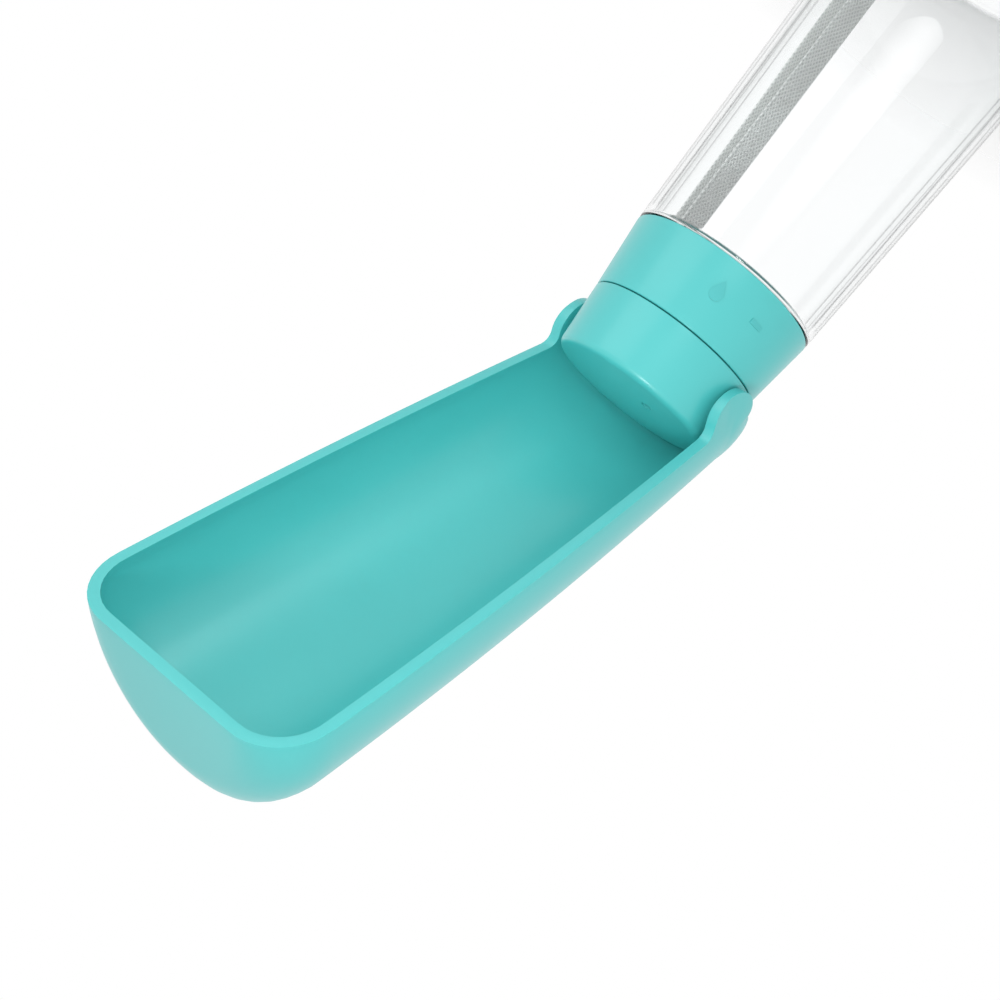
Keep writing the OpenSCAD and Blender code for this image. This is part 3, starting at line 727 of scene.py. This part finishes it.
# %% [markdown]
# The two faces are two grids. Their open edges run round the whole rim, the ears and the curled
# end, and have the same number of points, so they are bridged into a lip. The lip's edges are
# then bevelled with a few segments, as a mould would round them.

# %% Trough mesh
LIP_R, TROUGH_SHARP = 1.25, 50.0


def lay_wall(bm, inner):
    """Adds one face of the wall and returns its open edges."""
    columns = ACROSS + 2 * EAR_COLUMNS
    made = bmesh.ops.create_grid(bm, x_segments=len(ROWS) - 1, y_segments=columns, size=1)
    for v in made["verts"]:
        row = round((v.co.x + 1) / 2 * (len(ROWS) - 1))
        column = round((v.co.y + 1) / 2 * columns)
        across, along, deep = wall_point(row, column, inner)
        v.co = Vector((across, -along, deep)) * MM
    bmesh.ops.remove_doubles(bm, verts=made["verts"], dist=2 * MERGE_DIST)
    return [e for e in bm.edges if e.is_boundary]


trough_bm = bmesh.new()
outer_edges = lay_wall(trough_bm, False)
all_edges = lay_wall(trough_bm, True)
print("open edges, outer and both:", len(outer_edges), len(all_edges))
bridge = bmesh.ops.bridge_loops(trough_bm, edges=all_edges)
bmesh.ops.recalc_face_normals(trough_bm, faces=trough_bm.faces)
lip_faces = set(bridge["faces"])
lip_edges = [e for e in trough_bm.edges
             if len(e.link_faces) == 2 and sum(f in lip_faces for f in e.link_faces) == 1]
bmesh.ops.bevel(trough_bm, geom=lip_edges, offset=LIP_R * MM, offset_type="OFFSET", segments=4,
                profile=0.5, affect="EDGES", clamp_overlap=True, material=-1)
to_open = Matrix.Translation((0, 0, HINGE_Z * MM)) @ Matrix.Rotation(
    math.radians(90 - OPEN_ANGLE), 4, "X")
bmesh.ops.transform(trough_bm, matrix=to_open, verts=trough_bm.verts)
bmesh.ops.recalc_face_normals(trough_bm, faces=trough_bm.faces)
trough = finish_mesh("trough_shell", trough_bm, TROUGH_SHARP)
trough.data.materials.append(teal)
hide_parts("trough")
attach(trough, "trough")

# %% [markdown]
# ## The wrist strap
# The strap is flat woven webbing, sewn into a loop through the collar's slot. It is limp, so it
# hangs straight down beside the bottle and turns round at the bottom in a soft bight. A curve
# with a bevel could give the shape, but then the flat side would twist freely. A grid that is
# wrapped round the route keeps the flat side facing the bottle, and carries UVs for the weave.

# %% Strap route
STRAP_GAP, BAR_GAP = 0.5, 0.25
WRAP = (BAR_T + STRAP_T) / 2 + BAR_GAP
PER_SPAN = 6


def lie(z):
    """Distance from the axis of webbing that lies on the bottle at height z."""
    return bottle_radius(z) + STRAP_GAP + STRAP_T / 2


route = [
    (bar_mid - 0.4, LUG_Z1 + 1), (bar_mid - 1.6, LUG_Z1 + 0.6), (bar_mid - WRAP, LUG_Z1 - 0.8),
    (bar_mid - WRAP, LUG_Z0 + 4), (bar_mid - WRAP, LUG_Z0), (lie(136), 136), (lie(125), 125),
    (lie(110), 110), (lie(90), 90), (lie(70), 70), (lie(50), 50), (lie(30), 30), (lie(20), 20),
    (lie(13) + 1.2, 13), (lie(9) + 5.4, 9), (lie(13) + 9.6, 13), (lie(20) + 10.8, 20),
    (lie(30) + 10.4, 30), (lie(50) + 9.4, 50), (lie(70) + 8.2, 70), (lie(90) + 7.2, 90),
    (lie(110) + 6.4, 110), (lie(125) + 5.8, 125), (lie(136) + 5.2, 136),
    (bar_mid + WRAP + 0.4, LUG_Z0), (bar_mid + WRAP, LUG_Z0 + 4), (bar_mid + WRAP, LUG_Z1 - 0.8),
    (bar_mid + 1.6, LUG_Z1 + 0.6), (bar_mid + 0.4, LUG_Z1 + 1)]


def smooth_route(points):
    """A Catmull-Rom curve through the points, with PER_SPAN steps between two of them."""
    p = [Vector((2 * points[0][0] - points[1][0], 2 * points[0][1] - points[1][1]))]
    p += [Vector(q) for q in points]
    p.append(2 * p[-1] - p[-2])
    out = []
    for i in range(1, len(p) - 2):
        for k in range(PER_SPAN):
            t = k / PER_SPAN
            out.append(0.5 * (2 * p[i] + (p[i + 1] - p[i - 1]) * t
                              + (2 * p[i - 1] - 5 * p[i] + 4 * p[i + 1] - p[i + 2]) * t * t
                              + (3 * p[i] - p[i - 1] - 3 * p[i + 1] + p[i + 2]) * t ** 3))
    return out + [p[-2]]


strap_route = smooth_route(route)

# %% [markdown]
# The webbing's cross-section is a flat bar with rounded edges. A grid holds one row per step of
# the route and one column per point of that section; each vertex is moved to its place, and
# the distance walked along the route becomes the U of its UV map. Merging doubles closes the
# tube lengthways, and the two sewn ends are filled.

# %% Strap mesh
STRAP_EDGE, UV_PER_MM = 0.6, 0.1
strap_turn = Matrix.Rotation(math.radians(STRAP_ANGLE), 4, "Z")
section = soften([(x * STRAP_W / 2, y * STRAP_T / 2, STRAP_EDGE)
                  for x, y in ((-1, -1), (1, -1), (1, 1), (-1, 1))], steps=3)
section = section + section[:1]


def grid_place(co):
    """The row and column of a point of the strap's flat grid."""
    return (round((co.x + 1) / 2 * (len(strap_route) - 1)),
            round((co.y + 1) / 2 * (len(section) - 1)))


strap_bm = bmesh.new()
strap_uv = strap_bm.loops.layers.uv.new("webbing")
bmesh.ops.create_grid(strap_bm, x_segments=len(strap_route) - 1,
                      y_segments=len(section) - 1, size=1, calc_uvs=True)
walked = [0.0]
for a, b in zip(strap_route, strap_route[1:]):
    walked.append(walked[-1] + (b - a).length)
for face in strap_bm.faces:
    for loop in face.loops:
        i, j = grid_place(loop.vert.co)
        loop[strap_uv].uv = (walked[i] * UV_PER_MM, section[j][0] * UV_PER_MM)
for v in strap_bm.verts:
    i, j = grid_place(v.co)
    ahead = strap_route[min(i + 1, len(strap_route) - 1)] - strap_route[max(i - 1, 0)]
    normal = Vector((-ahead.y, ahead.x)).normalized() * section[j][1]
    spot = strap_route[i] + normal
    v.co = strap_turn @ (Vector((spot.x, section[j][0], spot.y)) * MM)
bmesh.ops.remove_doubles(strap_bm, verts=strap_bm.verts, dist=MERGE_DIST)
open_ends = [e for e in strap_bm.edges if e.is_boundary]
bmesh.ops.holes_fill(strap_bm, edges=open_ends, sides=0)
bmesh.ops.recalc_face_normals(strap_bm, faces=strap_bm.faces)
strap = finish_mesh("wrist_strap_webbing", strap_bm)
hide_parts("wrist_strap")
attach(strap, "collar")

# %% [markdown]
# ## Webbing finish
# Webbing is woven from thick yarns that cross at a slant, so light catches each one. Two wave
# patterns that slant opposite ways along the strap's own UVs cross into that weave. The higher
# of the two gives the height of the yarns, and also paints shade into the gaps between them.

# %% Webbing
YARN_SLANT, YARN_SCALE, YARN_HEIGHT = math.radians(55), 2.4, 0.0004
webbing, web_tree, web_shader = new_material("grey_webbing")
web_shader.inputs["Roughness"].default_value = 0.85
web_shader.inputs["Sheen Weight"].default_value = 0.25
web_place = web_tree.nodes.new("ShaderNodeTexCoord")
waves = []
for slant in (1, -1):
    mapping = web_tree.nodes.new("ShaderNodeMapping")
    mapping.inputs["Rotation"].default_value = (0, 0, slant * YARN_SLANT)
    web_tree.links.new(web_place.outputs["UV"], mapping.inputs["Vector"])
    wave = web_tree.nodes.new("ShaderNodeTexWave")
    wave.inputs["Scale"].default_value = YARN_SCALE
    wave.inputs["Distortion"].default_value = 0.6
    wave.inputs["Detail"].default_value = 1.0
    web_tree.links.new(mapping.outputs["Vector"], wave.inputs["Vector"])
    waves.append(wave.outputs["Fac"])
yarn = maths(web_tree, "MAXIMUM", *waves)
# Painted shade: the gaps between the yarns take the darker grey.
yarn_tone_and_gap_shade = two_tone(web_tree, yarn, (0.46, 0.49, 0.48), (0.84, 0.87, 0.85))
web_tree.links.new(yarn_tone_and_gap_shade, web_shader.inputs["Base Color"])
emboss(web_tree, web_shader, yarn, 0.8, YARN_HEIGHT)
strap.data.materials.append(webbing)
print("webbing nodes:", len(web_tree.nodes))

# %% [markdown]
# ## Finishes for the parts kept from the frame
# The seals, the rotor, the screw, the pins, the washers and the raised marks keep their
# engineering shape. Each one gets the finish that its material calls for.

# %% Finish the kept nodes
finishes = {
    "neck_gasket": milky, "valve_seal": milky, "head_o_ring": milky, "valve_rotor": white,
    "pivot_screw": steel, "spring_washer": steel, "hinge_pin_left": steel,
    "hinge_pin_right": steel, "friction_washer_left": dark_rubber,
    "friction_washer_right": dark_rubber, "open_mark": teal_mark, "shut_mark": teal_mark}
for name, material in finishes.items():
    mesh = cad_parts[name].data
    mesh.materials.clear()
    mesh.materials.append(material)
print("kept nodes finished:", len(finishes))

# %% [markdown]
# ## Floor, world and light
# A plain white studio shows the shapes best. The floor is a wide sheet that is ordinary matte
# white near the bottle, so that a shadow can fall on it. Further out it lets the white backdrop
# show, so it has no visible rim. Right under the see-through base it shows that white as well,
# a painted pool of the light that the clear base lets through.

# %% Floor
FLOOR_SHEET_R = 6.0
SHADOW_TO, BACKDROP_FROM = 0.06, 0.18
# Painted light: under the clear base the camera and rays through the bottle see white backdrop in
# place of the floor's shadow.
UNDER_BASE_TO, UNDER_BASE_FROM = 0.040, 0.034
BACKDROP_RAYS = ("Is Camera Ray", "Is Glossy Ray", "Is Transmission Ray")
floor_bm = bmesh.new()
bmesh.ops.create_circle(floor_bm, cap_ends=True, radius=FLOOR_SHEET_R, segments=96)
floor = finish_mesh("studio_floor", floor_bm)
floor_material, floor_tree, floor_shader = new_material("studio_floor_white")
floor_shader.inputs["Base Color"].default_value = (0.92, 0.92, 0.92, 1)
floor_shader.inputs["Roughness"].default_value = 0.9
see_through = floor_tree.nodes.new("ShaderNodeBsdfTransparent")
floor_place = floor_tree.nodes.new("ShaderNodeTexCoord")
from_axis = floor_tree.nodes.new("ShaderNodeVectorMath")
from_axis.operation = "LENGTH"
floor_tree.links.new(floor_place.outputs["Object"], from_axis.inputs[0])
distance = from_axis.outputs["Value"]
shadowless = maths(floor_tree, "MAXIMUM",
                   fade(floor_tree, distance, SHADOW_TO, BACKDROP_FROM),
                   fade(floor_tree, distance, UNDER_BASE_TO, UNDER_BASE_FROM))
shows_backdrop = maths(floor_tree, "MULTIPLY", shadowless, ray_mask(floor_tree, BACKDROP_RAYS))
floor_blend = shader_mix(floor_tree, shows_backdrop, floor_shader.outputs["BSDF"],
                         see_through.outputs["BSDF"])
floor_tree.links.new(floor_blend, floor_tree.nodes["Material Output"].inputs["Surface"])
floor.data.materials.append(floor_material)
print("floor radius in metres:", FLOOR_SHEET_R)

# %% [markdown]
# The world is an even, soft white that lights the object from all round. What the camera, a
# reflection or a ray through the clear plastic sees of it is plain white, which gives a white
# backdrop without putting more light on the object.

# %% World
AMBIENT = 0.80
world = bpy.data.worlds.new("studio")
bpy.context.scene.world = world
world.use_nodes = True
sky_tree = world.node_tree
ambient = sky_tree.nodes["Background"]
backdrop = sky_tree.nodes.new("ShaderNodeBackground")
for sheet, strength in ((ambient, AMBIENT), (backdrop, 1.0)):
    sheet.inputs["Color"].default_value = (1, 1, 1, 1)
    sheet.inputs["Strength"].default_value = strength
sky_blend = shader_mix(sky_tree, ray_mask(sky_tree, BACKDROP_RAYS),
                       ambient.outputs["Background"], backdrop.outputs["Background"])
sky_tree.links.new(sky_blend, sky_tree.nodes["World Output"].inputs["Surface"])
print("world strength:", AMBIENT)

# %% [markdown]
# Five soft lamps give the shells their shape: one high in front, two low ones that shine into
# the trough, one from the side that lays a sheen on the round head, and a small one that opens
# up the corner between the head and the trough. The camera does not see them, and neither do
# the rays that pass through the bottle.

# %% Lamps
for lamp_name, lamp_spot, aim, lamp_size, energy, spread in (
        ("front_softbox", (-0.35, -1.0, 0.62), (0, -0.05, 0.22), 0.9, 0.6, 180),
        ("low_softbox", (0.20, -0.58, 0.04), (0, -0.05, 0.24), 0.5, 1.05, 180),
        ("bowl_softbox", (-0.30, -0.50, 0.06), (0, -0.09, 0.33), 0.4, 0.19, 50),
        ("side_softbox", (-0.95, -0.15, 0.10), (0, -0.05, 0.22), 0.9, 0.5, 180),
        ("head_softbox", (-0.34, -0.50, 0.60), (-0.01, -0.03, 0.205), 0.16, 0.045, 26)):
    lamp_data = bpy.data.lights.new(lamp_name, "AREA")
    lamp_data.size, lamp_data.energy = lamp_size, energy
    lamp_data.spread = math.radians(spread)
    lamp = bpy.data.objects.new(lamp_name, lamp_data)
    bpy.context.scene.collection.objects.link(lamp)
    lamp.visible_camera = lamp.visible_transmission = False
    way = Vector(aim) - Vector(lamp_spot)
    lamp.matrix_world = Matrix.Translation(lamp_spot) @ way.to_track_quat(
        "-Z", "Y").to_matrix().to_4x4()
    print(lamp_name, energy, "watts")

# %% [markdown]
# ## Camera
# The camera looks at the bottle as a person pouring from it would: the object is seen with its
# base up and to the right, so the camera is rolled. Three vectors settle it: where it stands,
# the way it looks and which way is up in its frame.

# %% Camera
CAMERA_SPOT, LENS, SENSOR = (-0.3597, -0.5548, 0.3149), 75.64, 36.0
camera_data = bpy.data.cameras.new("view")
camera_data.lens, camera_data.sensor_width = LENS, SENSOR
camera_data.clip_start, camera_data.clip_end = 0.01, 50.0
camera = bpy.data.objects.new("view", camera_data)
bpy.context.scene.collection.objects.link(camera)
look = Vector((0.5557, 0.8242, -0.1087)).normalized()
top = Vector((0.4714, -0.4202, -0.7754))
top = (top - look * top.dot(look)).normalized()
right = look.cross(top)
turn_to = Matrix((right, top, -look)).transposed().to_4x4()
camera.matrix_world = Matrix.Translation(CAMERA_SPOT) @ turn_to
bpy.context.scene.camera = camera
bpy.context.scene.view_settings.view_transform = "Standard"
print("lens in millimetres:", LENS)
